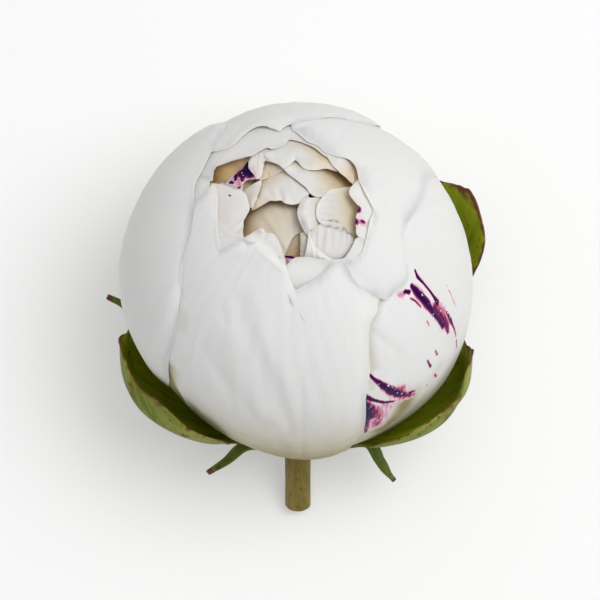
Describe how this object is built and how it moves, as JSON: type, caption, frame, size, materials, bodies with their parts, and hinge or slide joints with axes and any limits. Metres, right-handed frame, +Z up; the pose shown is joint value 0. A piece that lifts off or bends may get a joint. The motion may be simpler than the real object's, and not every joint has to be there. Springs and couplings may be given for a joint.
{
  "type": "cut peony bloom",
  "caption": "Cut double peony at the soft-ball stage, its broad petals cupped round a crumpled heart, with green sepals and a short stem, lying on its back.",
  "frame": {"origin": "on the surface the flower lies on, straight below the centre of the ball of petals, where the sepal behind it is pressed flat", "axes": "+Z up from the surface, -Y the way the stem points, +X to the right as seen from the stem's end"},
  "size_m": [0.088, 0.0859, 0.0824],
  "materials": {
    "petal_white": "soft satin living petal, faintly translucent",
    "heart_cream": "soft satin living petal, warm in the shade",
    "sepal_green": "waxy satin leaf",
    "bract_green": "waxy satin leaf",
    "stem_green": "waxy satin stem"
  },
  "bodies": {
    "root": {"stem": "stem_green", "guard_petal_left": "petal_white", "guard_petal_front": "petal_white", "guard_petal_right": "petal_white", "guard_petal_back_right": "petal_white", "guard_petal_back_left": "petal_white", "second_petal_1": "petal_white", "second_petal_2": "petal_white", "second_petal_3": "petal_white", "second_petal_4": "petal_white", "second_petal_5": "petal_white", "heart": "heart_cream", "sepal_left": "sepal_green", "sepal_right": "sepal_green", "sepal_right_rear": "sepal_green", "sepal_back": "sepal_green", "sepal_left_rear": "sepal_green", "bract_left": "bract_green", "bract_front_left": "bract_green", "bract_front_right": "bract_green"}
  },
  "joints": []
}
